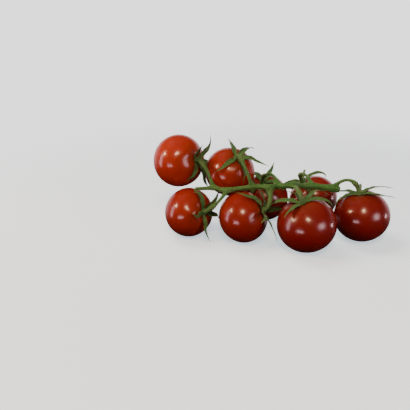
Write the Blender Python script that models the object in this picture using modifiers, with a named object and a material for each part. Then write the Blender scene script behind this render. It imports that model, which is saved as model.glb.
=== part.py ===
"""Truss of ripe tomatoes, as picked: one main stem with eight side stalks, and eight fruits.

Each fruit hangs from its side stalk at a swollen joint, the knuckle. Above the knuckle's
parting line the green neck and its star of sepals belong to the fruit. The truss lies on a
surface: six fruits stand on it and two are perched on their neighbours.

Units are metres, +Z is up, and +X runs along the truss towards the cut end of the stem.
The origin is the middle of the footprint of the whole truss, on the surface it lies on.
"""

import math
from collections import namedtuple

import bmesh
import bpy
import numpy as np
from mathutils import Matrix, Vector

MM = 0.001

# Fruit
FRUIT_DIAMETER = 40 * MM          # the mean fruit; each fruit's size is a ratio of it
FRUIT_HEIGHT = 37 * MM            # stem end to blossom end of the mean fruit
DIMPLE_DEPTH = 2.2 * MM           # hollow round the stalk
DIMPLE_RADIUS = 5.5 * MM
FRUIT_STEPS = 24                  # facets round a fruit
FRUIT_RINGS = 12                  # profile points from stem end to blossom end

# Stem, side stalks and necks
STEM_CUT_RADIUS = 3.1 * MM        # at the end cut from the plant
STEM_TIP_RADIUS = 1.0 * MM        # at the thin far end
STALK_RADIUS = 1.25 * MM
KNUCKLE_RADIUS = 2.0 * MM         # the swollen joint
KNUCKLE_SPREAD = 2.4 * MM         # how far the swelling reaches along the stalk
NECK_LENGTH = 9 * MM              # from the fruit to the knuckle's parting line
PARTING_STRAIGHT = 0.5 * MM       # straight stretch on each side of the parting line
NECK_FLARE = 1.0 * MM             # the neck's extra radius where it meets the sepals

# Sepals
HUB_RADIUS = 2.8 * MM             # disc that the sepals grow from
SEPAL_LENGTH = 21 * MM            # the longest; each sepal's length is a ratio of it
SEPAL_WIDTH = 4.4 * MM            # at the widest
SEPAL_BASE_WIDTH = 1.6 * MM
SEPAL_TIP_WIDTH = 0.5 * MM
SEPAL_THICKNESS = 0.7 * MM
SEPAL_STATIONS = 6
SEPAL_CLEARANCE = 0.6 * MM        # between a resting sepal and the skin below it

TOUCH_GAP = 0.3 * MM              # between pieces that touch

GREEN_STEM = (0.085, 0.150, 0.030)
GREEN_CALYX = (0.045, 0.105, 0.022)
RED_SKIN = (0.380, 0.018, 0.006)

# A fruit's place is in mean fruit diameters; lean is the tilt of its stem end from upright,
# towards the compass heading. A perched fruit rests on the ones below it.
Fruit = namedtuple("Fruit", "x y size lean heading perched")
FRUITS = {
    1: Fruit(1.68, 0.16, 1.01, 12, -165, False),
    2: Fruit(0.77, 0.87, 0.95, 34, -165, False),
    3: Fruit(0.75, -0.53, 1.04, 16, -140, False),
    4: Fruit(-0.17, 0.67, 0.96, 26, -95, False),
    5: Fruit(-0.38, -0.45, 0.94, 64, -5, False),
    6: Fruit(-0.79, 0.25, 0.96, 35, -48, True),
    7: Fruit(-1.39, -0.47, 0.92, 73, -29, False),
    8: Fruit(-1.72, 0.00, 1.00, 78, -23, True),
}

# Centre line of the main stem, in mean fruit diameters, from the cut end to the thin tip.
# Side stalk k leaves it at its k-th point, and the first and last points are its two ends.
STEM_ROUTE = (
    (1.25, 0.12, 0.925),
    (1.13, 0.12, 0.95),
    (0.75, 0.10, 0.965),
    (0.44, -0.16, 1.035),
    (0.17, -0.13, 0.995),
    (0.04, -0.27, 1.01),
    (-0.26, -0.26, 0.98),
    (-0.68, -0.46, 0.96),
    (-0.93, -0.44, 0.96),
    (-1.23, -0.60, 0.98),
)

# How a side stalk bends: the compass bearing and rise in which it leaves the main stem, and
# the lengths of its curve's two handles, at the stem and at the fruit.
Bend = namedtuple("Bend", "bearing rise stem_pull fruit_pull")
BENDS = {
    1: Bend(20, 60, 10 * MM, 14 * MM),
    2: Bend(100, 35, 12 * MM, 14 * MM),
    3: Bend(-70, 10, 8 * MM, 9 * MM),
    4: Bend(100, 40, 12 * MM, 14 * MM),
    5: Bend(-60, -40, 6 * MM, 7 * MM),
    6: Bend(-120, 60, 10 * MM, 9 * MM),
    7: Bend(-100, -30, 5 * MM, 8 * MM),
    8: Bend(150, 60, 8 * MM, 8 * MM),
}

# Sepals of each calyx: compass azimuth before the fruit leans, length as a ratio of
# SEPAL_LENGTH, and how far the tip stands off the skin, as a ratio of the same length.
SEPALS = {
    1: ((-165, 0.85, 0.20), (-28, 0.80, 0.25), (38, 0.95, 0.35), (90, 0.80, 0.25),
        (150, 0.90, 0.30)),
    2: ((-145, 0.65, 0.45), (-70, 0.80, 0.15), (28, 0.90, 0.20), (84, 1.00, 0.50),
        (148, 0.85, 0.50)),
    3: ((-125, 0.65, 0.20), (12, 0.90, 0.20), (58, 0.90, 0.40), (110, 0.85, 0.25),
        (172, 0.90, 0.45)),
    4: ((-120, 0.75, 0.15), (-60, 0.80, 0.10), (5, 0.75, 0.20), (65, 0.75, 0.35),
        (125, 0.85, 0.15)),
    5: ((-172, 0.95, 0.05), (-96, 0.85, 0.65), (-48, 0.85, 0.65), (66, 0.95, 0.75),
        (112, 0.95, 0.30)),
    6: ((-112, 0.80, 0.35), (-40, 0.80, 0.12), (26, 0.90, 0.35), (74, 1.00, 0.30),
        (124, 0.95, 0.20)),
    7: ((-116, 0.50, 0.35), (-50, 0.65, 0.35), (36, 0.70, 0.25), (92, 0.90, 0.65),
        (152, 0.75, 0.30)),
    8: ((-50, 0.65, 0.07), (0, 1.00, 0.35), (44, 0.75, 0.45), (88, 1.00, 0.40),
        (170, 0.45, 0.40)),
}


# ---------------------------------------------------------------- fruit shape and place

def profile(size, points=FRUIT_RINGS):
    """Radius and height of the skin from the stem end to the blossom end of one fruit.

    A half ellipse, sunk near the stem end by a bell-shaped hollow.
    """
    turn = np.linspace(0.0, math.pi, points)
    radius = 0.5 * FRUIT_DIAMETER * size * np.sin(turn)
    height = 0.5 * FRUIT_HEIGHT * size * np.cos(turn)
    upper = turn < 0.5 * math.pi
    height = height - DIMPLE_DEPTH * np.exp(-(radius / DIMPLE_RADIUS) ** 2) * upper
    radius[0] = radius[-1] = 0.0
    return radius, height


def turned(lean, heading):
    """Rotation that tips an upright fruit by its lean towards its heading, without spin."""
    head = Matrix.Rotation(math.radians(heading), 4, "Z")
    tip = Matrix.Rotation(math.radians(lean), 4, "Y")
    return head @ tip @ head.inverted()


def resting_height(fruit):
    """Height of a fruit's centre when its lowest point is on the surface."""
    radius, height = profile(fruit.size, 181)
    lean = math.radians(fruit.lean)
    return float(np.max(radius * math.sin(lean) - height * math.cos(lean)))


def reach(fruit):
    """Radius of the ball that a fruit's neighbours keep clear of."""
    return 0.5 * FRUIT_DIAMETER * fruit.size


def spread_apart(centres, rounds=60):
    """Slides the fruits that lie on the surface apart until none of them overlap."""
    lying = [k for k in centres if not FRUITS[k].perched]
    for _ in range(rounds):
        for i, a in enumerate(lying):
            for b in lying[i + 1:]:
                apart = centres[b] - centres[a]
                short = reach(FRUITS[a]) + reach(FRUITS[b]) + TOUCH_GAP - apart.length
                if short > 0:
                    push = Vector((apart.x, apart.y, 0)).normalized() * (0.5 * short)
                    centres[a] -= push
                    centres[b] += push


def perch(k, centres):
    """Lowers fruit k from above until it touches one of the fruits already placed."""
    place = centres[k]
    heights = []
    for other, centre in centres.items():
        touching = reach(FRUITS[k]) + reach(FRUITS[other]) + TOUCH_GAP
        aside = math.hypot(centre.x - place.x, centre.y - place.y)
        if other < k and aside < touching:
            heights.append(centre.z + math.sqrt(touching ** 2 - aside ** 2))
    place.z = max(heights)


def fruit_centres():
    """Centre of every fruit: first the lying ones, then the perched ones."""
    centres = {}
    for k, fruit in FRUITS.items():
        ground = 0.0 if fruit.perched else resting_height(fruit)
        centres[k] = Vector((fruit.x * FRUIT_DIAMETER, fruit.y * FRUIT_DIAMETER, ground))
    spread_apart(centres)
    for k, fruit in FRUITS.items():
        if fruit.perched:
            perch(k, {j: c for j, c in centres.items() if j <= k or not FRUITS[j].perched})
    return centres


# ---------------------------------------------------------------- paths

def smooth(points, between=3):
    """Catmull-Rom curve through the points, with extra points between each pair."""
    knots = np.array(points, dtype=float)
    padded = np.vstack([2 * knots[0] - knots[1], knots, 2 * knots[-1] - knots[-2]])
    curve = []
    for before, start, end, after in zip(padded, padded[1:], padded[2:], padded[3:]):
        for t in np.arange(between) / between:
            curve.append(0.5 * (2 * start + (end - before) * t
                                + (2 * before - 5 * start + 4 * end - after) * t ** 2
                                + (3 * start - before - 3 * end + after) * t ** 3))
    curve.append(knots[-1])
    return np.array(curve)


def lengths_along(points):
    """Distance of each point from the first, along the path."""
    steps = np.linalg.norm(np.diff(points, axis=0), axis=1)
    return np.concatenate([[0.0], np.cumsum(steps)])


def stretch(points, start, end, count):
    """The part of a path between two distances along it, as evenly spaced points."""
    along = lengths_along(points)
    wanted = np.linspace(start, end, count)
    return np.stack([np.interp(wanted, along, points[:, axis]) for axis in range(3)], axis=1)


def stem_path():
    return smooth(np.array(STEM_ROUTE) * FRUIT_DIAMETER)


def stem_radii(count):
    """Radius of the main stem along its path, from the cut end to the tip."""
    return np.linspace(STEM_CUT_RADIUS, STEM_TIP_RADIUS, count)


def stalk_path(k, centre):
    """Centre line of side stalk k, from the fruit's stem end to the main stem's axis.

    A cubic curve that leaves the fruit along its axis and the stem along its bearing.
    """
    fruit, bend = FRUITS[k], BENDS[k]
    axis = turned(fruit.lean, fruit.heading).to_3x3() @ Vector((0, 0, 1))
    hollow = float(profile(fruit.size)[1][0])
    fruit_end = np.array(centre + axis * (hollow + TOUCH_GAP + 0.5 * SEPAL_THICKNESS))
    stem_end = np.array(STEM_ROUTE[k]) * FRUIT_DIAMETER
    bearing, rise = math.radians(bend.bearing), math.radians(bend.rise)
    leave = np.array([math.cos(rise) * math.cos(bearing), math.cos(rise) * math.sin(bearing),
                      math.sin(rise)])
    first = fruit_end + np.array(axis) * bend.fruit_pull
    second = stem_end + leave * bend.stem_pull
    t = np.linspace(0, 1, 60)[:, None]
    return ((1 - t) ** 3 * fruit_end + 3 * (1 - t) ** 2 * t * first
            + 3 * (1 - t) * t ** 2 * second + t ** 3 * stem_end)


def stalk_radii(distances):
    """Radius of neck and stalk by distance from the fruit: a swelling at the knuckle."""
    swelling = np.exp(-((distances - NECK_LENGTH) / KNUCKLE_SPREAD) ** 2)
    flare = np.exp(-(distances / KNUCKLE_SPREAD) ** 2)
    return STALK_RADIUS + (KNUCKLE_RADIUS - STALK_RADIUS) * swelling + NECK_FLARE * flare


# ---------------------------------------------------------------- mesh helpers

def material(name, colour, roughness):
    """A plain Principled material in one colour."""
    made = bpy.data.materials.new(name)
    made.use_nodes = True
    shader = made.node_tree.nodes["Principled BSDF"]
    shader.inputs["Base Color"].default_value = (*colour, 1.0)
    shader.inputs["Roughness"].default_value = roughness
    return made


def tube(name, points, radii, collection):
    """A welded mesh tube with flat ends, of the given radius at each point."""
    curve = bpy.data.curves.new(name, "CURVE")
    curve.dimensions = "3D"
    curve.bevel_depth = MM
    curve.bevel_resolution = 2
    curve.use_fill_caps = True
    spline = curve.splines.new("POLY")
    spline.points.add(len(points) - 1)
    for slot, place, radius in zip(spline.points, points, radii):
        slot.co = (*place, 1.0)
        slot.radius = radius / MM
    drawn = bpy.data.objects.new(name + "_line", curve)
    collection.objects.link(drawn)
    graph = bpy.context.evaluated_depsgraph_get()
    mesh = bpy.data.meshes.new_from_object(drawn.evaluated_get(graph))
    bpy.data.objects.remove(drawn)
    work = bmesh.new()
    work.from_mesh(mesh)
    bmesh.ops.remove_doubles(work, verts=work.verts, dist=0.01 * MM)
    work.to_mesh(mesh)
    work.free()
    solid = bpy.data.objects.new(name, mesh)
    collection.objects.link(solid)
    return solid


def join(target, cutter):
    """Boolean union of the target with a construction piece, which is then kept hidden."""
    union = target.modifiers.new("join " + cutter.name, "BOOLEAN")
    union.operation = "UNION"
    union.solver = "EXACT"
    union.object = cutter
    cutter.hide_render = True
    cutter.display_type = "WIRE"


# ---------------------------------------------------------------- pieces

def make_fruit(k, centre, skin, parts):
    """A turned solid: the profile carried round the fruit's own axis."""
    fruit = FRUITS[k]
    radius, height = profile(fruit.size)
    mesh = bpy.data.meshes.new(f"tomato_{k}")
    corners = [(r, 0.0, z) for r, z in zip(radius, height)]
    mesh.from_pydata(corners, [(i, i + 1) for i in range(len(corners) - 1)], [])
    piece = bpy.data.objects.new(f"tomato_{k}", mesh)
    parts.objects.link(piece)
    turn = piece.modifiers.new("turn", "SCREW")
    turn.steps = turn.render_steps = FRUIT_STEPS
    turn.use_merge_vertices = True
    turn.merge_threshold = 0.01 * MM
    turn.use_smooth_shade = True
    piece.matrix_world = Matrix.Translation(centre) @ turned(fruit.lean, fruit.heading)
    mesh.materials.append(skin)
    return piece


def pushed_out(place, balls, margin):
    """Moves a point out of every ball that it lies in, and the margin beyond."""
    for _ in range(3):
        away = place - balls[:, :3]
        distance = np.linalg.norm(away, axis=1)
        depth = balls[:, 3] + margin - distance
        worst = int(np.argmax(depth))
        if depth[worst] > 0:
            place = place + away[worst] / distance[worst] * depth[worst]
    return place


def fruit_balls(k, centres):
    """Balls round the fruits other than k, as rows of centre and radius."""
    return np.array([(*centre, reach(FRUITS[other]))
                     for other, centre in centres.items() if other != k])


def stem_balls(paths):
    """Balls along the main stem and along each side stalk beyond its knuckle."""
    stem = stretch(stem_path(), 0.0, lengths_along(stem_path())[-1], 120)
    rows = [np.column_stack([stem, stem_radii(len(stem))])]
    for path in paths.values():
        part = stretch(path, NECK_LENGTH, lengths_along(path)[-1], 30)
        rows.append(np.column_stack([part, stalk_radii(NECK_LENGTH + lengths_along(part))]))
    return np.vstack(rows)


def clear_of_others(k, right, left, frame, centres, paths):
    """Shifts the sections of a sepal, given in its fruit's frame, clear of other pieces.

    Each section first moves as a whole, out of the fruits and stems, and then each edge
    moves out of the fruits. The first section stays on the hub.
    """
    fruits, stems = fruit_balls(k, centres), stem_balls(paths)
    margin = SEPAL_CLEARANCE + SEPAL_THICKNESS
    sections = [(Vector(right[0]), Vector(left[0]))]
    back = frame.inverted()
    for one, other in zip(right[1:], left[1:]):
        ends = [np.array(frame @ Vector(one)), np.array(frame @ Vector(other))]
        middle = 0.5 * (ends[0] + ends[1])
        half = 0.5 * float(np.linalg.norm(ends[1] - ends[0]))
        moved = pushed_out(pushed_out(middle, stems, half + margin), fruits, margin)
        ends = [pushed_out(end + moved - middle, fruits, margin) for end in ends]
        sections.append(tuple(back @ Vector(end) for end in ends))
    return sections


def sepal_edges(k, azimuth, length, lift):
    """Right and left edge points of one sepal, in the frame of its upright fruit.

    The midline follows the fruit's shoulder and stands off it more and more, up to the lift
    at the tip. The width grows to a third of the length and then narrows to the tip.
    """
    size = FRUITS[k].size
    ball = 0.5 * FRUIT_DIAMETER * size
    u = np.linspace(0.0, 1.0, SEPAL_STATIONS)
    across_skin = HUB_RADIUS + u * math.sqrt(max(length ** 2 - lift ** 2, 0.0))
    turn = across_skin / ball
    skin_radius = ball * np.sin(turn)
    skin_height = (0.5 * FRUIT_HEIGHT * size * np.cos(turn)
                   - DIMPLE_DEPTH * np.exp(-(skin_radius / DIMPLE_RADIUS) ** 2))
    stand_off = SEPAL_CLEARANCE + lift * u ** 1.6
    out = skin_radius + stand_off * np.sin(turn)
    up = skin_height + stand_off * np.cos(turn)
    half = 0.5 * (SEPAL_TIP_WIDTH + (SEPAL_BASE_WIDTH - SEPAL_TIP_WIDTH) * (1 - u)
                  + (SEPAL_WIDTH - SEPAL_BASE_WIDTH) * np.sin(math.pi * u ** 0.7))
    radial = np.array([math.cos(azimuth), math.sin(azimuth), 0.0])
    sideways = np.array([-math.sin(azimuth), math.cos(azimuth), 0.0])
    middle = out[:, None] * radial + up[:, None] * np.array([0.0, 0.0, 1.0])
    return middle - half[:, None] * sideways, middle + half[:, None] * sideways


def make_calyx(k, centres, paths, neck, green, parts):
    """A star of sepals lofted outwards from a hub, thickened, and joined to its neck."""
    fruit = FRUITS[k]
    frame = Matrix.Translation(centres[k]) @ turned(fruit.lean, fruit.heading)
    hub_height = float(profile(fruit.size)[1][0]) + TOUCH_GAP
    star = bmesh.new()
    hub = star.verts.new((0, 0, hub_height))
    rim = []
    for degrees, length, lift in SEPALS[k]:
        edges = sepal_edges(k, math.radians(degrees), length * SEPAL_LENGTH,
                            lift * SEPAL_LENGTH)
        rows = [(star.verts.new(one), star.verts.new(other))
                for one, other in clear_of_others(k, *edges, frame, centres, paths)]
        rim += rows[0]
        for (near_right, near_left), (far_right, far_left) in zip(rows, rows[1:]):
            star.faces.new((near_right, far_right, far_left, near_left))
    for one, other in zip(rim, rim[1:] + rim[:1]):
        star.faces.new((hub, one, other))
    mesh = bpy.data.meshes.new(f"calyx_{k}")
    star.to_mesh(mesh)
    star.free()
    piece = bpy.data.objects.new(f"calyx_{k}", mesh)
    parts.objects.link(piece)
    piece.matrix_world = frame
    thicken = piece.modifiers.new("thicken", "SOLIDIFY")
    thicken.thickness = SEPAL_THICKNESS
    thicken.offset = 1.0
    join(piece, neck)
    mesh.materials.append(green)
    return piece


def parting_ends(path):
    """The last two points of the neck and the first two of the stalk, at the parting line.

    All four lie on one straight line, so that the two end faces are parallel.
    """
    middle, ahead = stretch(path, NECK_LENGTH, NECK_LENGTH + 0.1 * MM, 2)
    along = (ahead - middle) / np.linalg.norm(ahead - middle)
    near, far = 0.5 * TOUCH_GAP, 0.5 * TOUCH_GAP + PARTING_STRAIGHT
    return ([middle - far * along, middle - near * along],
            [middle + near * along, middle + far * along])


def make_neck(k, path, helpers):
    """The green neck from the hub of the sepals to the knuckle's parting line.

    It starts with a short stretch along the fruit's axis, so that its end is level.
    """
    level = stretch(path, 0.0, 0.5 * PARTING_STRAIGHT, 2)
    rising = stretch(path, 3 * PARTING_STRAIGHT, NECK_LENGTH - 3 * PARTING_STRAIGHT, 4)
    points = np.vstack([level, rising, parting_ends(path)[0]])
    return tube(f"neck_{k}", points, stalk_radii(lengths_along(points)), helpers)


def make_stalk(k, path, helpers):
    """The side stalk from the knuckle's parting line to the axis of the main stem."""
    rest = stretch(path, NECK_LENGTH + 3 * PARTING_STRAIGHT, lengths_along(path)[-1], 8)
    points = np.vstack([parting_ends(path)[1], rest])
    radii = stalk_radii(NECK_LENGTH + 0.5 * TOUCH_GAP + lengths_along(points))
    return tube(f"stalk_{k}", points, radii, helpers)


def make_main_stem(stalks, green, parts):
    """The main stem with its side stalks joined on, as it grew."""
    path = stem_path()
    piece = tube("main_stem", path, stem_radii(len(path)), parts)
    for stalk in stalks:
        join(piece, stalk)
    piece.data.materials.append(green)
    return piece


def stand_on_origin(pieces):
    """Parents every piece to one empty that brings the footprint's middle to the origin."""
    graph = bpy.context.evaluated_depsgraph_get()
    corners = []
    for piece in pieces:
        shown = piece.evaluated_get(graph)
        corners += [shown.matrix_world @ vertex.co for vertex in shown.data.vertices]
    low = [min(corner[axis] for corner in corners) for axis in range(3)]
    high = [max(corner[axis] for corner in corners) for axis in range(3)]
    middle = Vector(((low[0] + high[0]) / 2, (low[1] + high[1]) / 2, low[2]))
    root = bpy.data.objects.new("truss_origin", None)
    bpy.context.scene.collection.objects.link(root)
    root.location = -middle
    return root


def main():
    for old in list(bpy.data.objects):
        bpy.data.objects.remove(old)
    parts = bpy.data.collections.new("truss_of_tomatoes")
    helpers = bpy.data.collections.new("construction")
    for collection in (parts, helpers):
        bpy.context.scene.collection.children.link(collection)
    skin = material("tomato_skin", RED_SKIN, 0.18)
    stem_green = material("stem_green", GREEN_STEM, 0.6)
    calyx_green = material("calyx_green", GREEN_CALYX, 0.65)

    centres = fruit_centres()
    paths = {k: stalk_path(k, centre) for k, centre in centres.items()}
    pieces = [make_main_stem([make_stalk(k, paths[k], helpers) for k in FRUITS],
                             stem_green, parts)]
    for k, centre in centres.items():
        pieces.append(make_fruit(k, centre, skin, parts))
        pieces.append(make_calyx(k, centres, paths, make_neck(k, paths[k], helpers),
                                 calyx_green, parts))
    root = stand_on_origin(pieces)
    for child in [*parts.objects, *helpers.objects]:
        child.parent = root


main()
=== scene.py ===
"""Truss of ripe tomatoes: the finished surfaces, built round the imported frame.

Eight fruits, eight calyces and one main stem with its side stalks are worked out as numpy
surfaces. Each fruit's place is read from its node in the frame; the run of the stem, the
bends of the stalks and the sepals are laid out from it, in metres.
"""

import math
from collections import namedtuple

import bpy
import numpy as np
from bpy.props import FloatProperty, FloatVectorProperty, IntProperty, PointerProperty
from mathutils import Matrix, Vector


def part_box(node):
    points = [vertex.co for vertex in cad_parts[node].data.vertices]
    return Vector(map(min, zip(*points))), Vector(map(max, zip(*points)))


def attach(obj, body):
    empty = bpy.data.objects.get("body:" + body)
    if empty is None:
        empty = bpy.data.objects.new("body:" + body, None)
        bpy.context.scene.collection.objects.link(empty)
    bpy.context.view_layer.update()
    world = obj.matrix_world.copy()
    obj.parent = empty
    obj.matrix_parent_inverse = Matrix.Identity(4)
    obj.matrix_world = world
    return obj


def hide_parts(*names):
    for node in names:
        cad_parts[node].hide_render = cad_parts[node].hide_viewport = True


bl_info = {
    "name": "Tomato Truss",
    "version": (1, 0, 0),
    "blender": (4, 5, 0),
    "location": "3D View > Sidebar > Tomato Truss",
    "description": "Makes the fruits, calyces, stem, hairs and stage of a truss of tomatoes",
    "category": "Add Mesh",
}

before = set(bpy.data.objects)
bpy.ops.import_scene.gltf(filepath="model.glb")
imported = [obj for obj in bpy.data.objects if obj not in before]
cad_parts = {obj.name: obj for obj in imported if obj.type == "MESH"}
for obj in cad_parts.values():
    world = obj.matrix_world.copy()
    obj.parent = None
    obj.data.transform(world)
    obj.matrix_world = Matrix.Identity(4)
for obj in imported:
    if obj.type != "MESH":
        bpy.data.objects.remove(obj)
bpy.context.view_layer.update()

MM = 0.001
BODY = "root"

# ---------------------------------------------------------------- sizes shared with the frame

FRUIT_DIAMETER = 40 * MM          # the mean fruit; each fruit's size is a ratio of it
FRUIT_HEIGHT = 37 * MM
DIMPLE_DEPTH = 2.2 * MM
DIMPLE_RADIUS = 5.5 * MM
STEM_CUT_RADIUS = 3.1 * MM
STEM_TIP_RADIUS = 1.0 * MM
STALK_RADIUS = 1.25 * MM
KNUCKLE_RADIUS = 2.0 * MM
KNUCKLE_SPREAD = 2.4 * MM
NECK_LENGTH = 9 * MM
NECK_FLARE = 1.0 * MM
HUB_RADIUS = 2.8 * MM
HUB_RISE = 0.35 * MM              # height of the neck's root over the touching gap
SEPAL_CLEARANCE = 0.6 * MM
TOUCH_GAP = 0.3 * MM

# Lean is the tilt of the stem end from upright, towards the compass heading. Ripeness goes
# from 0, deep red, to 1, orange red.
Fruit = namedtuple("Fruit", "size lean heading ripeness")
FRUITS = {
    1: Fruit(1.01, 12, -165, 0.00),
    2: Fruit(0.95, 34, -165, 0.20),
    3: Fruit(1.04, 16, -140, 0.00),
    4: Fruit(0.96, 26, -95, 0.20),
    5: Fruit(0.94, 64, -5, 0.25),
    6: Fruit(0.96, 35, -48, 0.60),
    7: Fruit(0.92, 73, -29, 0.50),
    8: Fruit(1.00, 78, -23, 1.00),
}
FIRST_FRUIT_PLACE = (1.68, 0.16)  # of fruit 1 in the layout, in mean fruit diameters

# Centre line of the main stem, in mean fruit diameters, from the cut end to the thin tip.
# Side stalk k leaves it at its k-th point.
STEM_ROUTE = (
    (1.25, 0.12, 0.925),
    (1.13, 0.12, 0.95),
    (0.75, 0.10, 0.965),
    (0.44, -0.16, 1.035),
    (0.17, -0.13, 0.995),
    (0.04, -0.27, 1.01),
    (-0.26, -0.26, 0.98),
    (-0.68, -0.46, 0.96),
    (-0.93, -0.44, 0.96),
    (-1.23, -0.60, 0.98),
)

# Compass bearing and rise in which a side stalk leaves the main stem, and the lengths of
# its curve's two handles, at the stem and at the fruit.
Bend = namedtuple("Bend", "bearing rise stem_pull fruit_pull")
BENDS = {
    1: Bend(20, 60, 10 * MM, 14 * MM),
    2: Bend(100, 35, 12 * MM, 14 * MM),
    3: Bend(-70, 10, 8 * MM, 9 * MM),
    4: Bend(100, 40, 12 * MM, 14 * MM),
    5: Bend(-60, -40, 6 * MM, 7 * MM),
    6: Bend(-120, 60, 10 * MM, 9 * MM),
    7: Bend(-100, -30, 5 * MM, 8 * MM),
    8: Bend(150, 60, 8 * MM, 8 * MM),
}

# Sepals of each calyx: compass azimuth before the fruit leans, length as a ratio of the
# sepal length, and how far the tip stands off the skin, as a ratio of the same length.
SEPALS = {
    1: ((-165, 0.85, 0.20), (-28, 0.80, 0.25), (38, 0.95, 0.35), (90, 0.80, 0.25),
        (150, 0.90, 0.30)),
    2: ((-145, 0.65, 0.45), (-70, 0.80, 0.15), (28, 0.90, 0.20), (84, 1.00, 0.50),
        (148, 0.85, 0.50)),
    3: ((-125, 0.65, 0.20), (12, 0.90, 0.20), (58, 0.90, 0.40), (110, 0.85, 0.25),
        (172, 0.90, 0.45)),
    4: ((-120, 0.75, 0.15), (-60, 0.80, 0.10), (5, 0.75, 0.20), (65, 0.75, 0.35),
        (125, 0.85, 0.15)),
    5: ((-172, 0.95, 0.05), (-96, 0.85, 0.65), (-48, 0.85, 0.65), (66, 0.95, 0.75),
        (112, 0.95, 0.30)),
    6: ((-112, 0.80, 0.35), (-40, 0.80, 0.12), (26, 0.90, 0.35), (74, 1.00, 0.30),
        (124, 0.95, 0.20)),
    7: ((-116, 0.50, 0.35), (-50, 0.65, 0.35), (36, 0.70, 0.25), (92, 0.90, 0.65),
        (152, 0.75, 0.30)),
    8: ((-50, 0.65, 0.07), (0, 1.00, 0.35), (44, 0.75, 0.45), (88, 1.00, 0.40),
        (170, 0.45, 0.40)),
}

# ---------------------------------------------------------------- sizes of the fine surfaces

FRUIT_COLUMNS = 144
FRUIT_ROWS = 110
SKIN_FIT = 0.992                  # finished skin as a ratio of its solid
SCAR_DEPTH = 0.55 * MM            # pit at the blossom end
SCAR_RADIUS = 1.3 * MM
LOBES = 5                         # soft shoulders round the stem end
SHOULDER_TURN = 0.45              # angle from the stem end where the lobes are highest
SHOULDER_SPREAD = 0.35
OVALNESS = 0.008                  # of the fruit's outline, as a ratio
STREAKS = 34                      # faint streaks round the stem end

STEM_COLUMNS = 28
STEM_ROWS = 420
STALK_COLUMNS = 22
STALK_ROWS = 110
NECK_ROWS = 48
STEM_THICK_END = 2.25 * MM        # the finished stem is a little slimmer than its solid
STEM_THIN_END = 1.2 * MM
NECK_RADIUS = 1.4 * MM            # between the knuckle and the sepals
FINE_STALK_RADIUS = 1.0 * MM
NECK_FADE = 0.8 * MM              # how softly the neck gives way to the stalk
KNUCKLE_BULGE = 0.65 * MM
CREASE = 0.05 * MM                # gap at the parting line of a knuckle
KNUCKLE_TONE_REACH = 4 * MM       # how far the knuckle's yellower tone reaches

CUT_THINNING = 0.35 * MM          # the end cut from the plant is a little thinner
CUT_REACH = 1.6 * MM
CUT_CORNER, CUT_CORNER_DEPTH = 0.9 * MM, 0.35   # rounding: length, ratio of the radius
CUT_FACE = 0.35 * MM              # depth of the brown cut
TIP_CORNER = 0.5 * MM
CORNER, CORNER_DEPTH = 0.5 * MM, 0.16

RIDGES = 5                        # lengthwise ridges round a stem
RIDGE_WINDING = 40 * MM           # length over which they turn by one radian
STEM_RIDGES, STALK_RIDGES, NECK_RIDGES = 0.045, 0.05, 0.06   # heights, as ratios of radius
LUMP_WAVES = 260                  # spread of the lumps' waves, in radians a metre
LUMP_HEIGHT = 0.08 * MM
CUT_LUMP_HEIGHT = 0.16 * MM       # added towards the cut end
CUT_LUMP_REACH = 4 * MM

BRANCH_SWELLING = 0.45 * MM       # thickening of the main stem where a stalk leaves it
BRANCH_REACH = 3.2 * MM
BRANCH_FACING = 1.6               # more of it on the stalk's side, as a ratio
FLARE_REACH = 1.9 * MM            # how far the foot of a stalk spreads along it
FLARE_START = 0.4 * MM            # height over the stem's skin where it starts
FLARE_ALONG_STEM = 1.5            # spread of that foot along the main stem, as a ratio
FLARE_ACROSS_STEM = 0.25
STALK_END = 0.2 * MM              # how far short of the stem's axis a stalk ends

SEPAL_ROWS = 44
SEPAL_COLUMNS = 20
SEPAL_ROOT = 0.9 * MM             # distance from the fruit's axis where a sepal starts
SEPAL_TIP = 0.09 * MM             # least half width of a sepal
SEPAL_TWIST = 1.15                # most that its tip rolls over, in radians
TIP_CURL, TIP_CURL_MORE = 2.0 * MM, 3.0 * MM
SKIN_MARGIN = 0.3 * MM            # least gap between a sepal and the other fruits

HAIR_RADIUS = 0.024 * MM
HAIR_ROOT = 0.05 * MM             # depth of a hair's foot under the surface
HAIR_TILT = 0.35
HAIR_SHORTEST = 0.3               # as a ratio of the mean length
HAIR_SHAPE, HAIR_SPREAD = 2.0, 0.35

SHARP_ANGLE = 50.0                # edges that bend more stay sharp, in degrees

# ---------------------------------------------------------------- fixed colours

DOT_COLOUR = (0.62, 0.16, 0.04)          # fine dots in the skin
# Painted shade: dull brown red blended into the skin in the hollow under the sepals.
STEM_END_SHADE_COLOUR = (0.16, 0.035, 0.006)   # skin in the hollow under the sepals
STEM_TONE = (0.090, 0.185, 0.038)        # yellower green of the stem's tip and knuckles
CALYX_TONE = (0.095, 0.160, 0.036)
CUT_COLOUR = (0.055, 0.060, 0.018)
HAIR_DARK, HAIR_PALE = (0.30, 0.44, 0.18), (0.55, 0.66, 0.40)
SHEEN_TINT = (0.55, 0.85, 0.42, 1.0)
BLACK, PURE_WHITE = (0.0, 0.0, 0.0), (1.0, 1.0, 1.0)
WHITE, WARM, ROSE = (1.0, 0.97, 0.92), (1.0, 0.68, 0.42), (1.0, 0.72, 0.76)
SKY_ROSE = (1.0, 0.70, 0.72)

# ---------------------------------------------------------------- stage

CAMERA_PLACE = (0.0439, -0.3529, 0.1614)
CAMERA_AZIMUTH = 15.0
CAMERA_ELEVATION = 22.0
SENSOR_WIDTH = 36.0
TRUSS_MIDDLE = np.array([0.0, 0.0, 0.035])

FLOOR_FADE = 3.2                  # radius of the even tone, as a ratio of the lit radius
FLOOR_COLUMNS, FLOOR_ROWS = 64, 40
FLOOR_FIRST_RING = 0.05

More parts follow.
